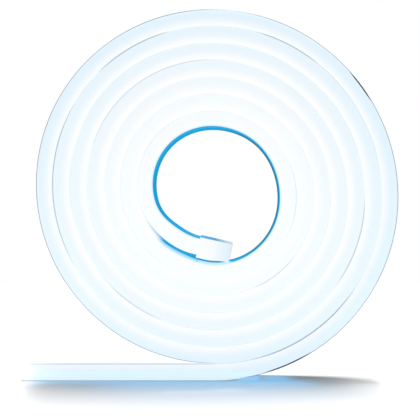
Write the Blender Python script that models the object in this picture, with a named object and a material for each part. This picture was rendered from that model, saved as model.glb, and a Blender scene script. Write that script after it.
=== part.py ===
"""A length of LED neon flex, wound into a flat coil that stands on its edge.

One strip with a domed, light-giving front is wound side against side, so its
turns show on both ends of the coil. Its inner end leaves the winding inside
the bore and carries a moulded end cap, and its outer end runs straight along
the floor. X is across the coil, Y is the coil's axis with the lit fronts
towards -Y, and Z is up. The origin is on the floor under the coil's axis.
"""

import math

import bmesh
import bpy
from mathutils import Vector

# The strip's section
FLEX_WIDTH = 0.0150
FLEX_DEPTH = 0.0260
DOME_RISE = 0.0025
DOME_FULLNESS = 0.6
DOME_SIDES = 6
BACK_CHAMFER = 0.0006

# The winding
CORE_RADIUS = 0.0519
TURN_SLACK = 0.0002
WOUND_TURNS = 6.81
STEPS_PER_TURN = 48
OVAL_SAG = 0.00165
OVAL_ANGLE = math.radians(137.5)

# The two ends that leave the winding
FREE_BEND_RADIUS = 0.0445
FREE_BEND_STEPS = 8
FREE_STRAIGHT = 0.0090
TAIL_LENGTH = 0.160

# The moulded cap on the inner end
CAP_LENGTH = 0.0285
CAP_WALL = 0.0010
CAP_SOCKET = 0.0150
CAP_EDGE = 0.0014
CAP_EDGE_SEGMENTS = 2
CAP_FIT = 0.0003
CAP_REST_GAP = 0.0003

# How far a cutter stands out of what it cuts
CUTTER_OVERSHOOT = 0.002

# Slopes between which the inner end's resting slope is sought, and how often it is halved
SLOPE_RANGE = (math.radians(-60), math.radians(60))
SLOPE_HALVINGS = 30

WIND_PITCH = FLEX_WIDTH + TURN_SLACK
STEP_ANGLE = 2 * math.pi / STEPS_PER_TURN
LAST_STATION = round(WOUND_TURNS * STEPS_PER_TURN)
CAP_INSIDE_WIDTH = FLEX_WIDTH + 2 * CAP_FIT
CAP_INSIDE_DEPTH = FLEX_DEPTH + 2 * CAP_FIT
CAP_WIDTH = CAP_INSIDE_WIDTH + 2 * CAP_WALL
CAP_DEPTH = CAP_INSIDE_DEPTH + 2 * CAP_WALL


def clear_scene():
    for obj in list(bpy.data.objects):
        bpy.data.objects.remove(obj, do_unlink=True)


def make_material(name, colour, roughness, emission=0.0):
    material = bpy.data.materials.new(name)
    material.use_nodes = True
    shader = material.node_tree.nodes["Principled BSDF"]
    shader.inputs["Base Color"].default_value = (*colour, 1.0)
    shader.inputs["Roughness"].default_value = roughness
    shader.inputs["Metallic"].default_value = 0.0
    shader.inputs["Emission Color"].default_value = (*colour, 1.0)
    shader.inputs["Emission Strength"].default_value = emission
    return material


def make_object(name, bm, material):
    bmesh.ops.recalc_face_normals(bm, faces=bm.faces)
    mesh = bpy.data.meshes.new(name)
    bm.to_mesh(mesh)
    bm.free()
    mesh.materials.append(material)
    obj = bpy.data.objects.new(name, mesh)
    bpy.context.scene.collection.objects.link(obj)
    return obj


def dome_profile():
    """Points of the domed front between its two edges: share across, setback."""
    points = []
    for side in range(1, DOME_SIDES):
        angle = math.pi * side / DOME_SIDES
        across = (1 - math.cos(angle)) / 2
        setback = DOME_RISE * (1 - math.sin(angle) ** DOME_FULLNESS)
        points.append((across, setback))
    return points


def strip_section(width, depth):
    """The closed section, as (across, y) pairs, going round from one front edge."""
    front, back = -depth / 2, depth / 2
    section = [(0.0, front + DOME_RISE)]
    section += [(across * width, front + setback) for across, setback in dome_profile()]
    section += [(width, front + DOME_RISE), (width, back - BACK_CHAMFER)]
    section += [(width - BACK_CHAMFER, back), (BACK_CHAMFER, back)]
    section.append((0.0, back - BACK_CHAMFER))
    return section


def wound_angle(station):
    """A station's angle round the coil, from the bottom by way of the left."""
    return (station - LAST_STATION + 0.5) * STEP_ANGLE


def inner_radius(station):
    """An even spiral, sagged a little oval along one diagonal."""
    spiral = CORE_RADIUS + WIND_PITCH * station / STEPS_PER_TURN
    return spiral + OVAL_SAG * math.cos(2 * (wound_angle(station) - OVAL_ANGLE))


class CoilPath:
    """Where the strip's inner and outer edges run, as points (x, z) in metres."""

    def __init__(self):
        self.lean = 0.0
        self.centre = Vector((0.0, 0.0))
        self.lay_on_floor()

    def wound_point(self, radius, station):
        angle = wound_angle(station) + self.lean
        return self.centre + radius * Vector((-math.sin(angle), -math.cos(angle)))

    def seam_point(self, station):
        return self.wound_point(inner_radius(station), station)

    def outer_point(self, station):
        """The outer edge: the next turn's seam, or the open outside of the coil."""
        if station + STEPS_PER_TURN <= LAST_STATION:
            return self.seam_point(station + STEPS_PER_TURN)
        return self.wound_point(inner_radius(station) + FLEX_WIDTH, station)

    def lay_on_floor(self):
        """Turn and lift the winding until its last outer side lies on the floor."""
        side = self.outer_point(LAST_STATION - 1) - self.outer_point(LAST_STATION)
        self.lean += math.atan2(side.y, side.x)
        self.centre.y -= self.outer_point(LAST_STATION).y

    def free_bend(self):
        """The middle of the winding's inner end, where it heads, and its bend's hub."""
        middle = (self.seam_point(0) + self.outer_point(0)) / 2
        ahead = (self.seam_point(1) + self.outer_point(1)) / 2
        heading = (middle - ahead).normalized()
        return heading, middle + FREE_BEND_RADIUS * Vector((-heading.y, heading.x))

    def cap_place(self, slope):
        """The middle of the cap's mouth, and the direction of the run, at a downward slope."""
        _, hub = self.free_bend()
        run = Vector((math.cos(slope), -math.sin(slope)))
        bend_end = hub + FREE_BEND_RADIUS * Vector((run.y, -run.x))
        return bend_end + FREE_STRAIGHT * run, run

    def cap_gap(self, slope):
        """How far the cap's far lower edge stays inside the next turn's flat sides."""
        mouth, run = self.cap_place(slope)
        down = Vector((run.y, -run.x))
        edge = mouth + (CAP_LENGTH - CAP_EDGE) * run + (CAP_WIDTH / 2 - CAP_EDGE) * down
        from_centre = edge - self.centre
        angle = math.atan2(-from_centre.x, -from_centre.y) - self.lean
        station = (angle / STEP_ANGLE - 0.5 + LAST_STATION) % STEPS_PER_TURN
        return inner_radius(station) * math.cos(STEP_ANGLE / 2) - from_centre.length - CAP_EDGE

    def resting_slope(self):
        """The slope at which the cap comes to rest against the next turn."""
        low, high = SLOPE_RANGE
        for _ in range(SLOPE_HALVINGS):
            middle = (low + high) / 2
            if self.cap_gap(middle) > CAP_REST_GAP:
                low = middle
            else:
                high = middle
        return low

    def free_end(self):
        """Edge pairs of the inner end, from the winding inwards."""
        heading, hub = self.free_bend()
        slope = self.resting_slope()
        heading_angle = math.atan2(heading.y, heading.x)
        pairs = []
        for step in range(1, FREE_BEND_STEPS + 1):
            angle = heading_angle - (slope + heading_angle) * step / FREE_BEND_STEPS
            outward = Vector((math.sin(angle), -math.cos(angle)))
            pairs.append(edge_pair(hub + FREE_BEND_RADIUS * outward, outward))
        mouth, run = self.cap_place(slope)
        pairs.append(edge_pair(mouth + (CAP_SOCKET - CAP_FIT) * run, outward))
        return pairs

    def tail_end(self):
        floor_end = self.outer_point(LAST_STATION) - Vector((TAIL_LENGTH, 0.0))
        return floor_end + Vector((0.0, FLEX_WIDTH)), floor_end


def edge_pair(middle, outward):
    return middle - FLEX_WIDTH / 2 * outward, middle + FLEX_WIDTH / 2 * outward


def add_post(bm, point):
    """The front and back vertex of an edge of the strip."""
    front_y = -FLEX_DEPTH / 2 + DOME_RISE
    back_y = FLEX_DEPTH / 2 - BACK_CHAMFER
    return tuple(bm.verts.new((point.x, y, point.y)) for y in (front_y, back_y))


def add_station(bm, inner, outer):
    """Vertices across the strip between two posts: its front row and its back row."""
    inner_point, outer_point = (Vector((post[0].co.x, post[0].co.z)) for post in (inner, outer))
    across = outer_point - inner_point
    front_y, back_y = -FLEX_DEPTH / 2, FLEX_DEPTH / 2
    front = [inner[0]]
    for share, setback in dome_profile():
        place = inner_point + share * across
        front.append(bm.verts.new((place.x, front_y + setback, place.y)))
    front.append(outer[0])
    chamfer = BACK_CHAMFER * across.normalized()
    back = [inner[1]]
    for place in (inner_point + chamfer, outer_point - chamfer):
        back.append(bm.verts.new((place.x, back_y, place.y)))
    back.append(outer[1])
    return front, back


def add_rows(bm, row_a, row_b):
    for left, right in zip(range(len(row_a) - 1), range(1, len(row_a))):
        bm.faces.new((row_a[left], row_a[right], row_b[right], row_b[left]))


def add_wall(bm, posts):
    """The side wall along a run of posts."""
    for post_a, post_b in zip(posts, posts[1:]):
        bm.faces.new((*post_a, *reversed(post_b)))


def add_end_face(bm, station):
    front, back = station
    bm.faces.new(front + back[::-1])


def build_flex(path, material):
    bm = bmesh.new()
    free_posts = [tuple(add_post(bm, point) for point in pair) for pair in path.free_end()]
    free_posts.reverse()
    tail_posts = tuple(add_post(bm, point) for point in path.tail_end())

    # A seam post is shared by the turn inside it and the turn outside it
    seams = [add_post(bm, path.seam_point(i)) for i in range(LAST_STATION + 1)]
    first_open = LAST_STATION - STEPS_PER_TURN + 1
    outside = [add_post(bm, path.outer_point(i)) for i in range(first_open, LAST_STATION + 1)]
    outer_posts = seams[STEPS_PER_TURN:] + outside

    wound_posts = list(zip(seams, outer_posts))
    posts = free_posts + wound_posts + [tail_posts]
    stations = [add_station(bm, inner, outer) for inner, outer in posts]
    for station_a, station_b in zip(stations, stations[1:]):
        add_rows(bm, station_a[0], station_b[0])
        add_rows(bm, station_a[1], station_b[1])

    free_inner = [inner for inner, _ in free_posts]
    free_outer = [outer for _, outer in free_posts]
    add_wall(bm, free_inner + seams[:STEPS_PER_TURN + 1])
    add_wall(bm, free_outer + [seams[STEPS_PER_TURN]])
    add_wall(bm, [seams[LAST_STATION]] + outside + [tail_posts[1]])
    add_wall(bm, [seams[LAST_STATION], tail_posts[0]])
    add_end_face(bm, stations[0])
    add_end_face(bm, stations[-1])
    return make_object("neon_flex", bm, material)


def build_cap(path, material):
    """A moulded sleeve, closed at one end, whose socket takes the strip's inner end."""
    bm = bmesh.new()
    bmesh.ops.create_cube(bm, size=1.0)
    bmesh.ops.translate(bm, verts=bm.verts, vec=(0.5, 0.0, 0.0))
    bmesh.ops.scale(bm, verts=bm.verts, vec=(CAP_LENGTH, CAP_DEPTH, CAP_WIDTH))
    rounded = [edge for edge in bm.edges if any(vert.co.x > CAP_LENGTH / 2 for vert in edge.verts)]
    bmesh.ops.bevel(bm, geom=rounded, offset=CAP_EDGE, segments=CAP_EDGE_SEGMENTS,
                    profile=0.5, affect="EDGES")
    cap = make_object("end_cap", bm, material)

    bm = bmesh.new()
    section = strip_section(CAP_INSIDE_WIDTH, CAP_INSIDE_DEPTH)
    mouth_loop = [bm.verts.new((-CUTTER_OVERSHOOT, y, across - CAP_INSIDE_WIDTH / 2))
                  for across, y in section]
    extruded = bmesh.ops.extrude_face_region(bm, geom=[bm.faces.new(mouth_loop)])
    far_loop = [item for item in extruded["geom"] if isinstance(item, bmesh.types.BMVert)]
    bmesh.ops.translate(bm, verts=far_loop, vec=(CAP_SOCKET + CUTTER_OVERSHOOT, 0.0, 0.0))
    cutter = make_object("end_cap_socket_cutter", bm, material)
    cutter.hide_render = True
    cutter.display_type = "WIRE"

    socket = cap.modifiers.new("socket", "BOOLEAN")
    socket.operation = "DIFFERENCE"
    socket.solver = "EXACT"
    socket.object = cutter

    slope = path.resting_slope()
    mouth, _ = path.cap_place(slope)
    for obj in (cap, cutter):
        obj.location = (mouth.x, 0.0, mouth.y)
        obj.rotation_euler = (0.0, slope, 0.0)
    return cap


def main():
    clear_scene()
    jacket = make_material("lit_milky_jacket", (0.80, 0.93, 1.00), 0.45, emission=1.0)
    moulding = make_material("translucent_cap_moulding", (0.62, 0.82, 0.93), 0.30)
    path = CoilPath()
    build_flex(path, jacket)
    build_cap(path, moulding)


main()
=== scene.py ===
"""Looks of a lit LED neon flex: a domed strip wound in a coil, with its moulded end cap.

The strip is swept along one smooth line, from the capped end inside the bore,
round the winding and out along the floor. Lengths are in metres.
"""

import math

import bmesh
import bpy
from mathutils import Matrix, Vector


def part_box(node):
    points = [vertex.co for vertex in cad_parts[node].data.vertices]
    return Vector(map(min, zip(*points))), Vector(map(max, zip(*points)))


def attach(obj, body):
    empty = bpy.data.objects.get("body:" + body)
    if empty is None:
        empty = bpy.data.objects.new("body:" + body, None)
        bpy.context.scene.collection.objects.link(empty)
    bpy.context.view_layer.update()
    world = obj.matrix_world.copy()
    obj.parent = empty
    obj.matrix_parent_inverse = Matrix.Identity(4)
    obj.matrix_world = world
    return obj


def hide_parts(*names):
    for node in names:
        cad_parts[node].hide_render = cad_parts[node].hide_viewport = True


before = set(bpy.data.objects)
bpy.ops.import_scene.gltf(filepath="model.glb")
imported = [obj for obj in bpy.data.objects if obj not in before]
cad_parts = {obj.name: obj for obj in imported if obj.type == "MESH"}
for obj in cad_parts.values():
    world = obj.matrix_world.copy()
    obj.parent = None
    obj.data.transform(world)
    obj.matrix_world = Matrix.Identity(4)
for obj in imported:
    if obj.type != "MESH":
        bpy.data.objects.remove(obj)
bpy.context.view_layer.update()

FLEX_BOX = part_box("neon_flex")
CAP_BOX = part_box("end_cap")

# The strip's section
FLEX_WIDTH = 0.0150
FLEX_FRONT = FLEX_BOX[0][1]
FLEX_BACK = FLEX_BOX[1][1]
DOME_RISE = 0.0025
DOME_FULLNESS = 0.6
DOME_SIDES = 18
BACK_ROUND = 0.0006
BACK_ROUND_SIDES = 3
WALL_SIDES = 4
SHARP_EDGE = math.radians(40)

# The winding. Each wave or swell has a height, and its place and its spread in turns
CORE_RADIUS = 0.0519
WIND_PITCH = 0.0152
WOUND_TURNS = 327 / 48
OVAL_SAG = 0.00165
OVAL_ANGLE = math.radians(137.5)
FIRST_TURN_WAVES = ((-0.0003, 0.15, 0.20), (0.0009, 0.42, 0.07),
                    (-0.0010, 0.555, 0.08), (0.0010, 0.74, 0.08))
WEDGE_SWELL = (0.0014, 0.872, 0.045)
COARSE_STEP = math.radians(7.5)
FINE_STEP = math.radians(2.25)

# The end inside the bore. A swell or droop has a height, and its place and spread along the strip
CAP_LENGTH = 0.0285
CAP_WIDTH = 0.0176
CAP_SLOPE = math.radians(10.56)
CAP_SOCKET = 0.0150
CAP_FIT = 0.0003
FREE_STRAIGHT = 0.0010
FREE_SWELL = (0.0015, 0.042, 0.018)
FREE_DROOP = (0.0034, 0.016, 0.025)
BEND_FROM = 0.03
BEND_HANDLE = 0.36
BEND_POINTS = 40
STRAIGHT_POINTS = 12
OPEN_SHORT = math.radians(19)

# The cap's moulding
CAP_CORNER = 0.0012
CAP_CORNER_SIDES = 5
CAP_NOSE = 0.0014
CAP_NOSE_SIDES = 5
CAP_LIP = 0.0003
CAP_DRAFT = 0.0001
CAP_FOOT = 0.0023
CAP_DIP = math.radians(2.0)
CAP_REACH = 0.0012

# The photograph: its size, the point straight ahead of the lens, the coil's axis, and its scale
PHOTO_SIZE = 420
AHEAD_X, AHEAD_Y = 227.3, 207.2
AXIS_X, AXIS_Y = 212.9, 190.5
METRES_PER_PIXEL = 0.0152 / 16.98
CAMERA_DISTANCE = 0.712
SENSOR_WIDTH = 36.0


# Where the strip runs

def bell(value, peak):
    """A smooth rise and fall: its height, its place and its spread."""
    height, place, spread = peak
    return height * math.exp(-((value - place) / spread) ** 2)


def wound_angle(turns):
    """The angle round the coil, from the bottom by way of the left."""
    return (turns - WOUND_TURNS) * 2 * math.pi + COARSE_STEP / 2


def inner_radius(turns):
    """An even spiral, sagged a little oval along one diagonal, with small waves in its first turn."""
    oval = OVAL_SAG * math.cos(2 * (wound_angle(turns) - OVAL_ANGLE))
    wave = sum(bell(turns, peak) for peak in FIRST_TURN_WAVES)
    return CORE_RADIUS + WIND_PITCH * turns + oval + wave


LAST_TURN = WOUND_TURNS - COARSE_STEP / (4 * math.pi)


def level_lean():
    """How far the winding is turned so that it leaves the floor level."""
    small = 1e-4
    growth = inner_radius(LAST_TURN + small) - inner_radius(LAST_TURN - small)
    return math.atan2(growth, (inner_radius(LAST_TURN) + FLEX_WIDTH) * small * 4 * math.pi)


LEAN = level_lean()
AXIS_HEIGHT = (inner_radius(LAST_TURN) + FLEX_WIDTH) * math.cos(LEAN)


def wound_point(turns):
    """The middle of the strip, as (x, z)."""
    radius = inner_radius(turns) + FLEX_WIDTH / 2
    angle = wound_angle(turns) + LEAN
    return Vector((-radius * math.sin(angle), AXIS_HEIGHT - radius * math.cos(angle)))


def step_count(low, high):
    """How many fine steps lie between two places on the winding, in turns."""
    return round((high - low) * 2 * math.pi / FINE_STEP)


def cap_mouth():
    """The middle of the cap's mouth, from the frame's cap, and the way it points, dipped a little."""
    run = Vector((math.cos(CAP_SLOPE), -math.sin(CAP_SLOPE)))
    middle = Vector(((CAP_BOX[0][0] + CAP_BOX[1][0]) / 2, (CAP_BOX[0][2] + CAP_BOX[1][2]) / 2))
    dipped = Vector((math.cos(CAP_SLOPE + CAP_DIP), -math.sin(CAP_SLOPE + CAP_DIP)))
    return middle - run * CAP_LENGTH / 2, dipped


def strip_line():
    """The middle line of the strip, from its capped end to its cut end."""
    mouth, run = cap_mouth()
    inside = mouth + (CAP_SOCKET - CAP_FIT) * run
    bend_end = mouth - FREE_STRAIGHT * run
    points = [inside.lerp(bend_end, step / STRAIGHT_POINTS) for step in range(STRAIGHT_POINTS)]

    start = wound_point(BEND_FROM)
    heading = (wound_point(BEND_FROM + 0.001) - start).normalized()
    handle = BEND_HANDLE * (start - bend_end).length
    control_a = bend_end - handle * run
    control_b = start - handle * heading
    for step in range(BEND_POINTS):
        share = step / BEND_POINTS
        rest = 1 - share
        points.append(rest ** 3 * bend_end + 3 * rest ** 2 * share * control_a
                      + 3 * rest * share ** 2 * control_b + share ** 3 * start)

    steps = step_count(BEND_FROM, LAST_TURN)
    points += [wound_point(BEND_FROM + (LAST_TURN - BEND_FROM) * step / steps) for step in range(steps + 1)]

    leave = points[-1]
    cut = Vector((FLEX_BOX[0][0], leave.y))
    points += [leave.lerp(cut, step / STRAIGHT_POINTS) for step in range(1, STRAIGHT_POINTS + 1)]
    return points


# Meshes

def strip_section():
    """The section from the inner shoulder round: (outward, y) pairs, and each side's part."""
    half = FLEX_WIDTH / 2
    shoulder = FLEX_FRONT + DOME_RISE
    wall_end = FLEX_BACK - BACK_ROUND
    points = [(-half, shoulder)]
    for side in range(1, DOME_SIDES):
        angle = math.pi * side / DOME_SIDES
        setback = DOME_RISE * (1 - math.sin(angle) ** DOME_FULLNESS)
        points.append((-half * math.cos(angle), FLEX_FRONT + setback))
    for side in range(WALL_SIDES + 1):
        points.append((half, shoulder + (wall_end - shoulder) * side / WALL_SIDES))
    for side in range(1, BACK_ROUND_SIDES + 1):
        turn = math.pi / 2 * side / BACK_ROUND_SIDES
        points.append((half - BACK_ROUND + BACK_ROUND * math.cos(turn),
                       wall_end + BACK_ROUND * math.sin(turn)))
    points += [(-out, y) for out, y in reversed(points[-BACK_ROUND_SIDES:])]
    for side in range(WALL_SIDES):
        points.append((-half, wall_end + (shoulder - wall_end) * side / WALL_SIDES))
    parts = ["dome"] * DOME_SIDES + ["outer_wall"] * WALL_SIDES
    parts += ["back"] * (2 * BACK_ROUND_SIDES + 1) + ["inner_wall"] * WALL_SIDES
    return points, parts


def part_places(points, parts):
    """For each side, its part's number plus how far across that part it starts and ends.

    The dome is measured straight across, the other parts along their skin.
    """
    lengths = []
    for before, after, part in zip(points, points[1:] + points[:1], parts):
        step = Vector(after) - Vector(before)
        lengths.append(abs(step.x) if part == "dome" else step.length)
    places = []
    for number, part in enumerate(dict.fromkeys(parts)):
        sides = [side for side, name in enumerate(parts) if name == part]
        whole = sum(lengths[side] for side in sides)
        done = 0.0
        for side in sides:
            low, done = done, done + lengths[side]
            places.append((number + low / whole, number + done / whole))
    return places


def running_lengths(points):
    """How far along a line each of its points is."""
    lengths = [0.0]
    for before, after in zip(points, points[1:]):
        lengths.append(lengths[-1] + (Vector(after) - Vector(before)).length)
    return lengths


def loft(bm, rings, along, places, finishes):
    """Join closed rings of points into a skin, with its place along and around in its UVs."""
    uv = bm.loops.layers.uv.verify()
    rows = [[bm.verts.new(point) for point in ring] for ring in rings]
    count = len(rows[0])
    for low in range(len(rows) - 1):
        for side in range(count):
            after = (side + 1) % count
            face = bm.faces.new((rows[low][side], rows[low][after],
                                 rows[low + 1][after], rows[low + 1][side]))
            face.smooth = True
            face.material_index = finishes[side]
            start, end = places[side]
            corners = ((along[low], start), (along[low], end),
                       (along[low + 1], end), (along[low + 1], start))
            for loop, corner in zip(face.loops, corners):
                loop[uv].uv = corner
    return rows


def close_end(bm, row, finish):
    """A flat face over the last ring of a skin."""
    uv = bm.loops.layers.uv.verify()
    face = bm.faces.new(row)
    face.material_index = finish
    for loop in face.loops:
        loop[uv].uv = (loop.vert.co.y, loop.vert.co.z)


def make_piece(name, bm, materials, node):
    """A finished piece that takes a node's place in the frame."""
    bmesh.ops.recalc_face_normals(bm, faces=bm.faces)
    mesh = bpy.data.meshes.new(name)
    bm.to_mesh(mesh)
    bm.free()
    for material in materials:
        mesh.materials.append(material)
    mesh.set_sharp_from_angle(angle=SHARP_EDGE)
    piece = bpy.data.objects.new(name, mesh)
    bpy.context.scene.collection.objects.link(piece)
    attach(piece, "root")
    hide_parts(node)


def strip_rings(line, section, along):
    """The section set square across the line at each of its points, wider where the strip swells."""
    wound_start = STRAIGHT_POINTS + BEND_POINTS
    rings = []
    for place, point in enumerate(line):
        turns = BEND_FROM + (place - wound_start) * FINE_STEP / (2 * math.pi)
        inner_swell = bell(along[place], FREE_SWELL) + bell(turns, WEDGE_SWELL)
        outer_swell = bell(along[place], FREE_DROOP) * min(1.0, along[place] / (CAP_SOCKET - CAP_FIT))
        before = line[max(place - 1, 0)]
        after = line[min(place + 1, len(line) - 1)]
        ahead = (after - before).normalized()
        outward = Vector((-ahead.y, ahead.x))
        ring = []
        for out, y in section:
            out *= 1 + (inner_swell if out < 0 else outer_swell) / (FLEX_WIDTH / 2)
            ring.append((point.x + outward.x * out, y, point.y + outward.y * out))
        rings.append(ring)
    return rings


def make_strip():
    """The strip, in one skin with a flat face at each end."""
    line = strip_line()
    section, parts = strip_section()
    finish_of = {"dome": 0, "outer_wall": 1, "back": 2, "inner_wall": 1}
    end_finish = 3
    along = running_lengths(line)
    bm = bmesh.new()
    rows = loft(bm, strip_rings(line, section, along), along, part_places(section, parts),
                [finish_of[part] for part in parts])
    close_end(bm, rows[0], end_finish)
    close_end(bm, rows[-1], end_finish)

    wound_start = STRAIGHT_POINTS + BEND_POINTS
    free_length = along[wound_start]
    open_length = along[wound_start + step_count(BEND_FROM, 1.0) - round(OPEN_SHORT / FINE_STEP)]
    last_turn = along[-1 - STRAIGHT_POINTS - step_count(0.0, 1.0)]
    leave_floor = along[-1 - STRAIGHT_POINTS]
    materials = [lit_dome(open_length, last_turn, leave_floor),
                 side_wall(free_length, open_length, leave_floor), flat_back(), cut_end()]
    make_piece("wound_strip", bm, materials, "neon_flex")


def rounded_rectangle(width, depth, corner, sides):
    """A closed outline with rounded corners, as (across, y) pairs."""
    outline = []
    for quarter, (sign_a, sign_b) in enumerate(((1, 1), (-1, 1), (-1, -1), (1, -1))):
        for side in range(sides + 1):
            angle = math.pi / 2 * (quarter + side / sides)
            outline.append((sign_a * (width / 2 - corner) + corner * math.cos(angle),
                            sign_b * (depth / 2 - corner) + corner * math.sin(angle)))
    return outline


def cap_stages(depth):
    """The cap's rings: how far along each is, and how much wider and deeper than the cap.

    They run out of the socket, over the lip, along the drafted sides and round the nose.
    """
    wider = FLEX_WIDTH + 2 * CAP_FIT - CAP_WIDTH
    deeper = FLEX_BACK - FLEX_FRONT + 2 * CAP_FIT - depth
    stages = [(CAP_SOCKET, wider, deeper), (CAP_LIP, wider, deeper),
              (0.0, wider + 2 * CAP_LIP, deeper + 2 * CAP_LIP),
              (0.0, -2 * CAP_LIP, -2 * CAP_LIP), (CAP_LIP, 0.0, 0.0)]
    nose_start = CAP_LENGTH + CAP_REACH - CAP_NOSE
    stages.append((nose_start, -2 * CAP_DRAFT, -2 * CAP_DRAFT))
    for side in range(1, CAP_NOSE_SIDES + 1):
        turn = math.pi / 2 * side / CAP_NOSE_SIDES
        inset = 2 * CAP_DRAFT + 2 * CAP_NOSE * (1 - math.cos(turn))
        stages.append((nose_start + CAP_NOSE * math.sin(turn), -inset, -inset))
    return stages


def make_cap():
    """A moulded sleeve: socket, lip, sides with a little draft, and a rounded nose."""
    mouth, run = cap_mouth()
    up = Vector((-run.y, run.x))
    depth = CAP_BOX[1][1] - CAP_BOX[0][1]
    stages = cap_stages(depth)
    socket_width = stages[0][1]
    rings = []
    for along, wider, deeper in stages:
        corner = max(CAP_CORNER + min(wider, deeper) / 2, CAP_CORNER / 4)
        outline = rounded_rectangle(CAP_WIDTH + wider, depth + deeper, corner, CAP_CORNER_SIDES)
        place = mouth + run * along
        foot = CAP_FOOT * (1 - along / (CAP_LENGTH + CAP_REACH)) if wider > socket_width else 0.0
        ring = []
        for across, y in outline:
            if across < 0:
                across -= foot
            ring.append((place.x + up.x * across, y, place.y + up.y * across))
        rings.append(ring)

    bm = bmesh.new()
    outline = rounded_rectangle(CAP_WIDTH, depth, CAP_CORNER, CAP_CORNER_SIDES)
    places = part_places(outline, ["skin"] * len(outline))
    rows = loft(bm, rings, [stage[0] for stage in stages], places, [0] * len(outline))
    close_end(bm, rows[0], 0)
    close_end(bm, rows[-1], 0)
    make_piece("end_cap_moulding", bm, [cap_moulding()], "end_cap")


# Node helpers

def feed(tree, socket, value):
    """Join a socket to another one, or set its value."""
    if isinstance(value, bpy.types.NodeSocket):
        tree.links.new(value, socket)
    else:
        socket.default_value = value


def add_node(tree, kind, inputs=None, **settings):
    """A node with its settings, and its inputs set to values or joined to sockets."""
    node = tree.nodes.new(kind)
    for name, value in settings.items():
        setattr(node, name, value)
    for name, value in (inputs or {}).items():
        feed(tree, node.inputs[name], value)
    return node


def math_node(tree, operation, first, second=0.0):
    return add_node(tree, "ShaderNodeMath", {0: first, 1: second}, operation=operation).outputs[0]


def product(tree, first, second):
    return math_node(tree, "MULTIPLY", first, second)


def larger(tree, first, second):
    return math_node(tree, "MAXIMUM", first, second)


def rest_of(tree, mask):
    """What a mask leaves out."""
    return math_node(tree, "SUBTRACT", 1.0, mask)


def vector_node(tree, operation, first, second=(0.0, 0.0, 0.0), result="Vector"):
    node = add_node(tree, "ShaderNodeVectorMath", {0: first, 1: second}, operation=operation)
    return node.outputs[result]


def map_range(tree, value, source=(0.0, 1.0), target=(0.0, 1.0), kind="LINEAR"):
    node = add_node(tree, "ShaderNodeMapRange",
                    {"Value": value, "From Min": source[0], "From Max": source[1],
                     "To Min": target[0], "To Max": target[1]}, interpolation_type=kind)
    return node.outputs["Result"]


def smooth_step(tree, value, low, high):
    """A mask that rises smoothly from 0 at the first value to 1 at the second."""
    return map_range(tree, value, (low, high), kind="SMOOTHSTEP")


def ramp(tree, factor, stops):
    """A colour ramp with (place, colour) stops."""
    node = add_node(tree, "ShaderNodeValToRGB", {"Fac": factor})
    elements = node.color_ramp.elements
    while len(elements) < len(stops):
        elements.new(1.0)
    for element, (place, colour) in zip(elements, stops):
        element.position = place
        element.color = colour
    return node.outputs["Color"]


def mix_colour(tree, factor, first, second, blend="MIX"):
    """Two colours mixed; a colour mix keeps them in its inputs 6 and 7 and its output 2."""
    node = add_node(tree, "ShaderNodeMix", {"Factor": factor, 6: first, 7: second},
                    data_type="RGBA", blend_type=blend)
    return node.outputs[2]


def skin_places(tree):
    """How far along a piece a point is, and its place round the section."""
    uv = add_node(tree, "ShaderNodeUVMap")
    places = add_node(tree, "ShaderNodeSeparateXYZ", {0: uv.outputs[0]})
    return places.outputs["X"], places.outputs["Y"]


def place_parts(tree):
    """Object-space x, y and z."""
    place = add_node(tree, "ShaderNodeTexCoord")
    parts = add_node(tree, "ShaderNodeSeparateXYZ", {0: place.outputs["Object"]})
    return parts.outputs["X"], parts.outputs["Y"], parts.outputs["Z"]


def from_axis(tree):
    """The way from the coil's axis square out to a point."""
    place = add_node(tree, "ShaderNodeTexCoord")
    moved = vector_node(tree, "ADD", place.outputs["Object"], (0.0, 0.0, -AXIS_HEIGHT))
    return vector_node(tree, "MULTIPLY", moved, (1.0, 0.0, 1.0))


# Effects that several finishes share

def new_group(name, inputs, outputs):
    """An empty shader group with float inputs (name, default) and float outputs."""
    tree = bpy.data.node_groups.new(name, "ShaderNodeTree")
    for socket_name, default in inputs:
        socket = tree.interface.new_socket(socket_name, in_out="INPUT", socket_type="NodeSocketFloat")
        socket.default_value = default
    for socket_name in outputs:
        tree.interface.new_socket(socket_name, in_out="OUTPUT", socket_type="NodeSocketFloat")
    return tree, tree.nodes.new("NodeGroupInput"), tree.nodes.new("NodeGroupOutput")


def use_group(tree, group, inputs=None):
    return add_node(tree, "ShaderNodeGroup", inputs, node_tree=group)


def axis_distance_group():
    """How far a point is from the coil's axis."""
    tree, _, outputs = new_group("distance_from_coil_axis", [], ["Distance"])
    feed(tree, outputs.inputs["Distance"], vector_node(tree, "LENGTH", from_axis(tree), result="Value"))
    return tree


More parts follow.
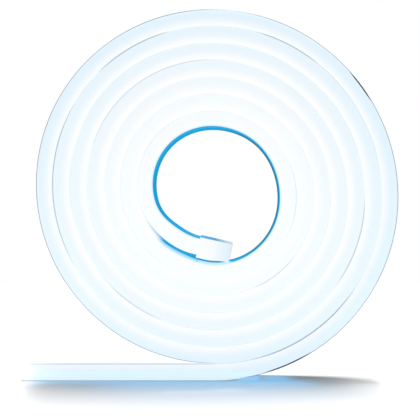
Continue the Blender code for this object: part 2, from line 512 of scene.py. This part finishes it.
def extrusion_grain_group():
    """Fine lines drawn along an extruded or moulded skin, with a soft mottle."""
    tree, inputs, outputs = new_group(
        "extrusion_grain",
        [("Lines Across", 1500.0), ("Lines Along", 12.0), ("Mottle Size", 90.0), ("Shade Depth", 0.05)],
        ["Shade", "Height"])
    uv = add_node(tree, "ShaderNodeUVMap")
    stretch = add_node(tree, "ShaderNodeCombineXYZ",
                       {"X": inputs.outputs["Lines Along"], "Y": inputs.outputs["Lines Across"], "Z": 1.0})
    placed = vector_node(tree, "MULTIPLY", uv.outputs[0], stretch.outputs[0])
    lines = add_node(tree, "ShaderNodeTexNoise",
                     {"Vector": placed, "Scale": 1.0, "Detail": 3.0, "Roughness": 0.6})
    place = add_node(tree, "ShaderNodeTexCoord")
    mottle = add_node(tree, "ShaderNodeTexNoise",
                      {"Vector": place.outputs["Object"], "Scale": inputs.outputs["Mottle Size"],
                       "Detail": 4.0, "Roughness": 0.55})
    lines_share, mottle_share = 0.4, 0.6
    both = math_node(tree, "ADD", product(tree, lines.outputs["Fac"], lines_share),
                     product(tree, mottle.outputs["Fac"], mottle_share))
    swing = product(tree, math_node(tree, "SUBTRACT", both, 0.5), inputs.outputs["Shade Depth"])
    feed(tree, outputs.inputs["Shade"], math_node(tree, "ADD", 1.0, swing))
    feed(tree, outputs.inputs["Height"], both)
    return tree


AXIS_DISTANCE = axis_distance_group()
EXTRUSION_GRAIN = extrusion_grain_group()


# Finishes

def linear(red, green, blue):
    """A colour given as screen values from 0 to 255, in the renderer's own scale."""
    def one(value):
        value /= 255
        return value / 12.92 if value <= 0.04045 else ((value + 0.055) / 1.055) ** 2.4
    return one(red), one(green), one(blue), 1.0


# The lit front's colours, from near the axis (first) to the outside of the coil (last): the strip's own
# ice-blue light with a painted glow, whiter toward the coil's middle and each turn's inner shoulder, cooler
# outwards
FACE_SPAN = (0.0680, 0.1600)
WHITE_EDGE = ((0.00, linear(253, 254, 253)), (0.60, linear(253, 254, 254)),
              (0.85, linear(250, 253, 254)), (1.00, linear(242, 249, 254)))
COOL_EDGE = ((0.00, linear(248, 252, 254)), (0.17, linear(247, 252, 254)),
             (0.33, linear(243, 250, 254)), (0.50, linear(239, 248, 254)),
             (0.84, linear(234, 246, 254)), (1.00, linear(228, 244, 254)))
# Painted shade for the line in the seams between turns, darker outwards and round the rim
SEAM_PAINTED_SHADE = ((0.00, linear(196, 210, 218)), (0.40, linear(212, 222, 229)), (0.65, linear(196, 210, 218)),
             (0.82, linear(176, 194, 204)), (1.00, linear(132, 154, 166)))
# A painted dark shadow on the rim at a few places
RIM_PAINTED_SHADE = linear(24, 44, 50)
# A painted glow toward the cut end
END_PAINTED_GLOW = linear(253, 254, 254)
# Painted blue light spilling from the bore onto the first turn's inner shoulder
PAINTED_BLUE_SPILL = linear(206, 240, 253)
# Painted blue glow beside the wedge under the free end
WEDGE_PAINTED_GLOW = linear(150, 216, 246)
LIT_BASE = 0.30
LIT_GLOW = 0.828

# The side walls, the back, the cut end and the cap. The bore's blue is a painted glow in shade, its grey a
# painted shade, and the straight end's white top is painted light
# Painted blue glow in the shaded bore
BORE_PAINTED_GLOW = linear(18, 160, 214)
# Painted grey shade at the back of the bore's right side
BORE_PAINTED_SHADE = linear(42, 112, 142)
PALE_WALL = linear(222, 234, 242)
# Painted light: the straight end's top washed white
TAIL_TOP_PAINTED_LIGHT = linear(252, 254, 255)
BACK_FACE = linear(226, 235, 240)
# A painted shadow line where turn meets turn on the back
BACK_SEAM_SHADOW = linear(168, 188, 200)
CUT_FACE = linear(236, 247, 253)
# Painted glow of the strip's lit end inside the cap, paler past it
CAP_FRONT_GLOW = ((0.00, linear(252, 254, 254)), (0.45, linear(248, 252, 254)),
             (0.66, linear(236, 247, 254)), (1.00, linear(222, 240, 253)))
# The bore's painted blue glow on the cap's sides, greying to painted edge shade toward the closed end
CAP_SIDE_GLOW_AND_SHADE = ((0.00, BORE_PAINTED_GLOW), (0.45, linear(30, 150, 200)),
            (0.68, linear(150, 190, 206)), (0.85, linear(196, 206, 212)))
# Painted grey shade at the cap's closed end
CAP_END_PAINTED_SHADE = linear(196, 206, 212)

# Places round the section, as part_places counts them
BACK_MIDDLE = 2.5

# How wide the painted shade lines in the seams and round the rim are, as shares of the strip's width, and
# how they fade at their sides
SEAM_WIDTH = 0.028
RIM_WIDTH = 0.055
RIM_SHADE_WIDTH = 0.035
LINE_FADE = (0.7, 1.4)

# How strong they are, how their patches are spread, and over what length one line turns into another
FAINT_SEAM = 0.17
SEAM_PATCHES = 0.25
TAIL_TOP_LINE = 0.75
TOP_RIM_SHADE = 0.30
PATCH_RANGE = (0.36, 0.66)
PATCHES_ROUND = 13.0
PATCHES_OUTWARDS = 140.0
LINE_BLEND = 0.02

# Where the painted shade in the seams and on the rim is darkest: the place along the winding in turns, and
# the spread in degrees
SEAM_DIPS = ((2.70, 18), (4.21, 48), (4.90, 18), (5.61, 22), (6.06, 38), (6.22, 18), (6.38, 16), (6.71, 27))
RIM_DIPS = ((7.455, 6.5), (7.738, 9))
DIP_CORE = 0.3
SEAM_REACH = (0.0080, 0.0060)

# Where the finish and its painted glow and shade change, from none to all of it: in x or y, in height above
# the floor, above or below the coil's axis, or across the strip as a share of its width
COOL_ACROSS = (0.08, 0.60)
END_GLOW_X = (-0.157, -0.172)
TAIL_END_X = (-0.159, -0.174)
FLOOR_Z = (0.0040, 0.0010)
TOP_RIM_RISE = (0.125, 0.160)
LEFT_OF_CAP_X = (-0.0125, -0.0150)
RIGHT_OF_CAP_X = (0.014, 0.018)
ABOVE_CAP_DROP = (0.052, 0.047)
SPILL_ACROSS = (0.08, 0.24)
BORE_EDGE_ACROSS = (0.070, 0.115)
FRINGE_ACROSS = (-0.02, 0.18)
NARROWER_X = (-0.01, 0.05)
NARROWER_BY = 0.05
SHADED_BORE_X = (-0.005, 0.045)
SHADED_BORE_Y = (-0.011, 0.004)

# Where the painted glow, light and shade change along the strip: from its capped end, back from the end of
# the open first turn, round where the straight end leaves the winding, or as a share of the free end
OPEN_FADE = 0.012
WEDGE_BACK = (0.078, 0.064)
FREE_FADE = (0.052, 0.066)
SHOULDER_ALONG = (0.020, 0.055)
SHOULDER_ACROSS = (0.865, 0.950)
SHOULDER_FADE = 0.035
FREE_WALL = 0.80
TAIL_WALL = (-0.03, 0.02)

# Where the painted shadow changes across the back, and how far in from the cap's top, front and closed end
# the cap's painted side glow and end shade reach
BACK_SEAM_SPAN = (0.36, 0.47)
CAP_TOP_EDGE = (0.0017, 0.0006)
CAP_FRONT_EDGE = (0.0004, 0.0016)
CAP_END_EDGE = (0.0008, 0.0001)


def new_material(name, roughness, specular, emission, coat=0.0):
    """A material whose even values sit on the shader itself."""
    material = bpy.data.materials.new(name)
    material.use_nodes = True
    tree = material.node_tree
    shader = tree.nodes["Principled BSDF"]
    shader.inputs["Roughness"].default_value = roughness
    shader.inputs["Specular IOR Level"].default_value = specular
    shader.inputs["Emission Strength"].default_value = emission
    shader.inputs["Coat Weight"].default_value = coat
    return material, tree, shader


def displayed(tree, shader, colour, grain, relief, base_share):
    """Join a finish whose colour is mostly its own light: only a share of it is reflected."""
    shade = grain.outputs["Shade"]
    grey = add_node(tree, "ShaderNodeCombineColor", {"Red": shade, "Green": shade, "Blue": shade})
    colour = mix_colour(tree, 1.0, colour, grey.outputs[0], blend="MULTIPLY")
    share = (base_share, base_share, base_share, 1.0)
    base = mix_colour(tree, 1.0, colour, share, blend="MULTIPLY")
    bump = add_node(tree, "ShaderNodeBump",
                    {"Height": grain.outputs["Height"], "Distance": relief, "Strength": 1.0})
    feed(tree, shader.inputs["Base Color"], base)
    feed(tree, shader.inputs["Emission Color"], colour)
    feed(tree, shader.inputs["Normal"], bump.outputs[0])


def darkest_shade_places(tree, distance, dips):
    """A mask around chosen places along the inner side of the winding, where the painted seam and rim shade
    is darkest.
    """
    toward = vector_node(tree, "NORMALIZE", from_axis(tree))
    strength = 0.0
    for turns, spread in dips:
        angle = wound_angle(turns) + LEAN
        match = vector_node(tree, "DOT_PRODUCT", toward, (-math.sin(angle), 0.0, -math.cos(angle)), "Value")
        spread = math.radians(spread)
        beside = smooth_step(tree, match, math.cos(spread), math.cos(spread * DIP_CORE))
        away = math_node(tree, "ABSOLUTE", math_node(tree, "SUBTRACT", distance, inner_radius(turns)))
        on_seam = smooth_step(tree, away, *SEAM_REACH)
        strength = larger(tree, product(tree, beside, on_seam), strength)
    return strength


def seam_shade_strength(tree, distance, outside):
    """How dark the painted shade line between two turns is: it comes and goes along each seam."""
    x, _, z = place_parts(tree)
    spread = add_node(tree, "ShaderNodeCombineXYZ",
                      {"X": product(tree, x, PATCHES_ROUND), "Y": product(tree, distance, PATCHES_OUTWARDS),
                       "Z": product(tree, z, PATCHES_ROUND)})
    noise = add_node(tree, "ShaderNodeTexNoise", {"Vector": spread.outputs[0], "Scale": 1.0, "Detail": 1.0})
    patches = product(tree, SEAM_PATCHES, smooth_step(tree, noise.outputs["Fac"], *PATCH_RANGE))
    patches = math_node(tree, "ADD", FAINT_SEAM, patches)
    patches = larger(tree, patches, darkest_shade_places(tree, distance, SEAM_DIPS))
    strength = larger(tree, patches, outside)
    on_floor = smooth_step(tree, z, *FLOOR_Z)
    tail_end = smooth_step(tree, x, *TAIL_END_X)
    return product(tree, strength, product(tree, rest_of(tree, on_floor), rest_of(tree, tail_end)))


def with_seam_shade(tree, face, distance, outwards, last_turn, leave_floor):
    """The face with a thin painted shade line at its seams, round the rim and along the straight end's top.
    """
    along, across = skin_places(tree)
    _, _, z = place_parts(tree)
    from_edge = math_node(tree, "MINIMUM", across, rest_of(tree, across))
    outside = product(tree, smooth_step(tree, along, last_turn - LINE_BLEND, last_turn + LINE_BLEND),
                      math_node(tree, "GREATER_THAN", across, 0.5))
    tail_top = product(tree, smooth_step(tree, along, leave_floor - LINE_BLEND, leave_floor + LINE_BLEND),
                       math_node(tree, "LESS_THAN", across, 0.5))
    # Painted shade: the rim line is darker near the top of the coil and at a few places
    top_rim_shade = product(tree, TOP_RIM_SHADE, smooth_step(tree, z, *(AXIS_HEIGHT + rise for rise in TOP_RIM_RISE)))
    rim_shade = product(tree, outside, larger(tree, darkest_shade_places(tree, distance, RIM_DIPS), top_rim_shade))
    width = map_range(tree, outside, target=(SEAM_WIDTH, RIM_WIDTH))
    width = math_node(tree, "ADD", width, product(tree, rim_shade, RIM_SHADE_WIDTH))
    share = math_node(tree, "DIVIDE", from_edge, width)
    near_seam = rest_of(tree, smooth_step(tree, share, *LINE_FADE))
    always = larger(tree, outside, product(tree, tail_top, TAIL_TOP_LINE))
    line = product(tree, near_seam, seam_shade_strength(tree, distance, always))
    face = mix_colour(tree, line, face, ramp(tree, outwards, SEAM_PAINTED_SHADE))
    return mix_colour(tree, product(tree, near_seam, rim_shade), face, RIM_PAINTED_SHADE)


def with_bore_glow(tree, face, open_length):
    """The face with the inner shoulder of its first turn painted with blue light spilling from the bore, and
    edged in the bore's painted blue glow.
    """
    along, across = skin_places(tree)
    x, _, z = place_parts(tree)
    open_turn = rest_of(tree, smooth_step(tree, along, open_length - OPEN_FADE, open_length))
    narrower = product(tree, smooth_step(tree, x, *NARROWER_X), NARROWER_BY)
    from_bore = math_node(tree, "ADD", across, narrower)
    # Painted blue light spilling from the bore over the inner shoulder
    painted_spill = rest_of(tree, smooth_step(tree, from_bore, *SPILL_ACROSS))
    face = mix_colour(tree, product(tree, painted_spill, open_turn), face, PAINTED_BLUE_SPILL)

    # Beside the wedge under the free end the painted blue glow is a soft fringe, elsewhere a clear edge
    left_of_cap = smooth_step(tree, x, *LEFT_OF_CAP_X)
    in_wedge = smooth_step(tree, along, *(open_length - back for back in WEDGE_BACK))
    by_wedge = product(tree, in_wedge, left_of_cap)
    fringe = product(tree, rest_of(tree, smooth_step(tree, across, *FRINGE_ACROSS)),
                     product(tree, by_wedge, open_turn))
    face = mix_colour(tree, fringe, face, WEDGE_PAINTED_GLOW)

    past_cap = larger(tree, left_of_cap, smooth_step(tree, x, *RIGHT_OF_CAP_X))
    above_cap = smooth_step(tree, z, *(AXIS_HEIGHT - drop for drop in ABOVE_CAP_DROP))
    # The bore's painted blue glow as an edge on the inner shoulder
    edge = rest_of(tree, smooth_step(tree, from_bore, *BORE_EDGE_ACROSS))
    edge = product(tree, edge, larger(tree, past_cap, above_cap))
    edge = product(tree, edge, rest_of(tree, by_wedge))
    return mix_colour(tree, product(tree, edge, open_turn), face, BORE_PAINTED_GLOW)


def with_free_end_glow(tree, face):
    """The face with the free end's outer shoulder painted with the bore's blue glow where it is open to the
    wedge below it.
    """
    along, across = skin_places(tree)
    free_part = rest_of(tree, smooth_step(tree, along, *FREE_FADE))
    shoulder = map_range(tree, along, SHOULDER_ALONG, SHOULDER_ACROSS)
    past_shoulder = math_node(tree, "SUBTRACT", across, shoulder)
    edge = product(tree, free_part, smooth_step(tree, past_shoulder, 0.0, SHOULDER_FADE))
    # Painted blue glow where the shoulder is open to the wedge
    return mix_colour(tree, edge, face, BORE_PAINTED_GLOW)


def lit_dome(open_length, last_turn, leave_floor):
    """The milky front, lit from within: a painted glow white by the inner shoulder, cooler outwards, a thin
    painted shade line at seams.
    """
    material, tree, shader = new_material("lit_milky_dome", roughness=0.42, specular=0.25, emission=LIT_GLOW)
    grain = use_group(tree, EXTRUSION_GRAIN, {"Shade Depth": 0.03, "Lines Across": 24.0})
    distance = use_group(tree, AXIS_DISTANCE).outputs["Distance"]
    outwards = map_range(tree, distance, FACE_SPAN)
    _, across = skin_places(tree)
    x, _, _ = place_parts(tree)
    # Painted glow: whiter by each turn's inner shoulder and toward the coil's middle, cooler outwards
    face = mix_colour(tree, smooth_step(tree, across, *COOL_ACROSS),
                      ramp(tree, outwards, WHITE_EDGE), ramp(tree, outwards, COOL_EDGE))
    # A painted glow toward the cut end
    face = mix_colour(tree, smooth_step(tree, x, *END_GLOW_X), face, END_PAINTED_GLOW)
    face = with_seam_shade(tree, face, distance, outwards, last_turn, leave_floor)
    face = with_bore_glow(tree, face, open_length)
    face = with_free_end_glow(tree, face)
    displayed(tree, shader, face, grain, relief=0.00004, base_share=LIT_BASE)
    return material


def side_wall(free_length, open_length, leave_floor):
    """Painted deep blue glow where it faces the shaded bore, painted shade greyer at the back of its right
    side; else pale, with painted light on the straight end's top.
    """
    material, tree, shader = new_material("side_wall", roughness=0.60, specular=0.0, emission=0.86)
    grain = use_group(tree, EXTRUSION_GRAIN, {"Shade Depth": 0.12, "Lines Across": 40.0})
    along, around = skin_places(tree)
    # Painted blue glow on the walls inside the bore, up to the end of the open first turn
    inner = math_node(tree, "GREATER_THAN", around, BACK_MIDDLE)
    open_end = map_range(tree, inner, target=(free_length * FREE_WALL, open_length))
    past_open = math_node(tree, "SUBTRACT", along, open_end)
    bore = rest_of(tree, smooth_step(tree, past_open, -OPEN_FADE, 0.0))
    x, y, _ = place_parts(tree)
    # Painted shade, greyer at the back of the bore's right side
    deep = product(tree, smooth_step(tree, x, *SHADED_BORE_X), smooth_step(tree, y, *SHADED_BORE_Y))
    blue = mix_colour(tree, deep, BORE_PAINTED_GLOW, BORE_PAINTED_SHADE)
    # Painted light on the straight end's top
    top = product(tree, inner, smooth_step(tree, along, *(leave_floor + step for step in TAIL_WALL)))
    pale = mix_colour(tree, top, PALE_WALL, TAIL_TOP_PAINTED_LIGHT)
    displayed(tree, shader, mix_colour(tree, bore, pale, blue), grain, relief=0.00005, base_share=0.25)
    return material


def flat_back():
    """The mounting side: unlit, with a painted shadow line where turn meets turn."""
    material, tree, shader = new_material("flat_back", roughness=0.60, specular=0.10, emission=0.16)
    grain = use_group(tree, EXTRUSION_GRAIN, {"Shade Depth": 0.16, "Lines Across": 30.0})
    _, around = skin_places(tree)
    from_middle = math_node(tree, "ABSOLUTE", math_node(tree, "SUBTRACT", around, BACK_MIDDLE))
    colour = mix_colour(tree, smooth_step(tree, from_middle, *BACK_SEAM_SPAN), BACK_FACE, BACK_SEAM_SHADOW)
    displayed(tree, shader, colour, grain, relief=0.00006, base_share=0.5)
    return material


def cut_end():
    """The bare end, sawn across."""
    material, tree, shader = new_material("cut_end", roughness=0.65, specular=0.15, emission=0.60)
    grain = use_group(tree, EXTRUSION_GRAIN, {"Shade Depth": 0.16, "Mottle Size": 400.0})
    displayed(tree, shader, CUT_FACE, grain, relief=0.00010, base_share=0.4)
    return material


def cap_across(tree, x, z):
    """How far a point lies from the cap's middle line, upwards."""
    mouth, run = cap_mouth()
    over = product(tree, math_node(tree, "SUBTRACT", x, mouth.x), -run.y)
    up = product(tree, math_node(tree, "SUBTRACT", z, mouth.y), run.x)
    return math_node(tree, "ADD", over, up)


def cap_moulding():
    """Translucent: a painted glow bright over the strip's lit end, pale blue past it, the bore's painted
    blue glow at its sides, greying to painted shade at its edges and closed end.
    """
    material, tree, shader = new_material("translucent_cap", roughness=0.30, specular=0.30,
                                          emission=0.84, coat=0.1)
    grain = use_group(tree, EXTRUSION_GRAIN,
                      {"Shade Depth": 0.04, "Lines Across": 300.0, "Lines Along": 300.0})
    along, _ = skin_places(tree)
    end = CAP_LENGTH + CAP_REACH
    past = math_node(tree, "DIVIDE", along, end)
    x, y, z = place_parts(tree)
    # Painted blue glow and edge shade on the sides, painted glow of the lit end on the front
    edge = smooth_step(tree, cap_across(tree, x, z), *(CAP_WIDTH / 2 - inset for inset in CAP_TOP_EDGE))
    deeper = smooth_step(tree, y, *(CAP_BOX[0][1] + inset for inset in CAP_FRONT_EDGE))
    colour = mix_colour(tree, larger(tree, edge, deeper), ramp(tree, past, CAP_FRONT_GLOW),
                        ramp(tree, past, CAP_SIDE_GLOW_AND_SHADE))
    # Painted grey shade at the closed end
    closed = smooth_step(tree, along, *(end - inset for inset in CAP_END_EDGE))
    colour = mix_colour(tree, closed, colour, CAP_END_PAINTED_SHADE)
    displayed(tree, shader, colour, grain, relief=0.00004, base_share=0.25)
    return material


# Stage

ROOM_LIGHT = 0.185
FLOOR_REACH = 0.9
FLOOR_GREY = (0.46, 0.46, 0.46, 1.0)
WHITE_LIGHT = (1.0, 1.0, 1.0)
SPILL_BLUE = (0.0, 0.50, 1.0)
DOWN = Vector((0.0, 0.0, -1.0))
FORWARD = Vector((0.0, -1.0, 0.0))


def make_floor():
    bm = bmesh.new()
    bmesh.ops.create_grid(bm, x_segments=1, y_segments=1, size=FLOOR_REACH)
    mesh = bpy.data.meshes.new("floor")
    bm.to_mesh(mesh)
    bm.free()
    material = bpy.data.materials.new("studio_floor")
    material.use_nodes = True
    shader = material.node_tree.nodes["Principled BSDF"]
    shader.inputs["Base Color"].default_value = FLOOR_GREY
    shader.inputs["Roughness"].default_value = 0.9
    shader.inputs["Specular IOR Level"].default_value = 0.0
    mesh.materials.append(material)
    floor = bpy.data.objects.new("floor", mesh)
    bpy.context.scene.collection.objects.link(floor)


def add_soft_box(name, place, size, radiance, colour=WHITE_LIGHT, facing=DOWN):
    """A soft box, as bright as a surface of the given radiance."""
    lamp = bpy.data.lights.new(name, "AREA")
    lamp.shape = "RECTANGLE"
    lamp.size, lamp.size_y = size
    lamp.energy = radiance * math.pi * size[0] * size[1]
    lamp.color = colour
    light = bpy.data.objects.new(name, lamp)
    light.location = place
    light.rotation_euler = facing.to_track_quat("-Z", "Y").to_euler()
    light.visible_camera = False
    bpy.context.scene.collection.objects.link(light)


def light_room():
    """An even white room that looks brighter than it lights."""
    world = bpy.data.worlds.new("white_room")
    bpy.context.scene.world = world
    world.use_nodes = True
    tree = world.node_tree
    background = tree.nodes["Background"]
    background.inputs["Color"].default_value = (1.0, 1.0, 1.0, 1.0)
    path = tree.nodes.new("ShaderNodeLightPath")
    strength = map_range(tree, path.outputs["Is Camera Ray"], target=(ROOM_LIGHT, 1.0))
    feed(tree, background.inputs["Strength"], strength)


def light_studio():
    """A white room, two soft boxes overhead, the strip's blue light on the floor, and two low fills.

    The fills lighten the ends of the shadow in front. The small blue boxes stand in for the
    light that the strip throws under the coil, where it meets the floor.
    """
    light_room()
    add_soft_box("overhead_box", (0.0, 0.0, 3.2), (3.4, 3.4), 1.9)
    add_soft_box("back_overhead_box", (0.75, 1.50, 8.0), (1.4, 2.5), 110.0)
    add_soft_box("blue_spill", (-0.043, FLEX_FRONT - 0.007, 0.009), (0.26, 0.011), 1.35, SPILL_BLUE)
    add_soft_box("blue_glow", (0.0, FLEX_FRONT - 0.001, 0.038), (0.19, 0.046), 2.5, SPILL_BLUE, FORWARD)
    add_soft_box("left_fill", (-0.210, -0.0605, 0.013), (0.10, 0.089), 1.8)
    add_soft_box("right_fill", (0.156, -0.030, 0.030), (0.067, 0.045), 1.8)
    add_soft_box("blue_by_contact", (0.0315, -0.003, 0.0014), (0.021, 0.022), 1.0, SPILL_BLUE)
    add_soft_box("blue_under_rim", (0.046, -0.002, 0.0060), (0.046, 0.022), 1.2, SPILL_BLUE)


def make_camera():
    """A level camera whose frame is the photograph's."""
    camera = bpy.data.cameras.new("camera")
    camera.sensor_width = SENSOR_WIDTH
    half_view = PHOTO_SIZE / 2 * METRES_PER_PIXEL
    camera.lens = SENSOR_WIDTH / 2 * CAMERA_DISTANCE / half_view
    camera.shift_x = (PHOTO_SIZE / 2 - AHEAD_X) / PHOTO_SIZE
    camera.shift_y = (AHEAD_Y - PHOTO_SIZE / 2) / PHOTO_SIZE
    eye = bpy.data.objects.new("camera", camera)
    eye.location = ((AHEAD_X - AXIS_X) * METRES_PER_PIXEL, FLEX_FRONT - CAMERA_DISTANCE,
                    AXIS_HEIGHT + (AXIS_Y - AHEAD_Y) * METRES_PER_PIXEL)
    eye.rotation_euler = (math.pi / 2, 0.0, 0.0)
    bpy.context.scene.collection.objects.link(eye)
    bpy.context.scene.camera = eye


make_camera()
bpy.context.scene.view_settings.view_transform = "Standard"
make_strip()
make_cap()
make_floor()
light_studio()
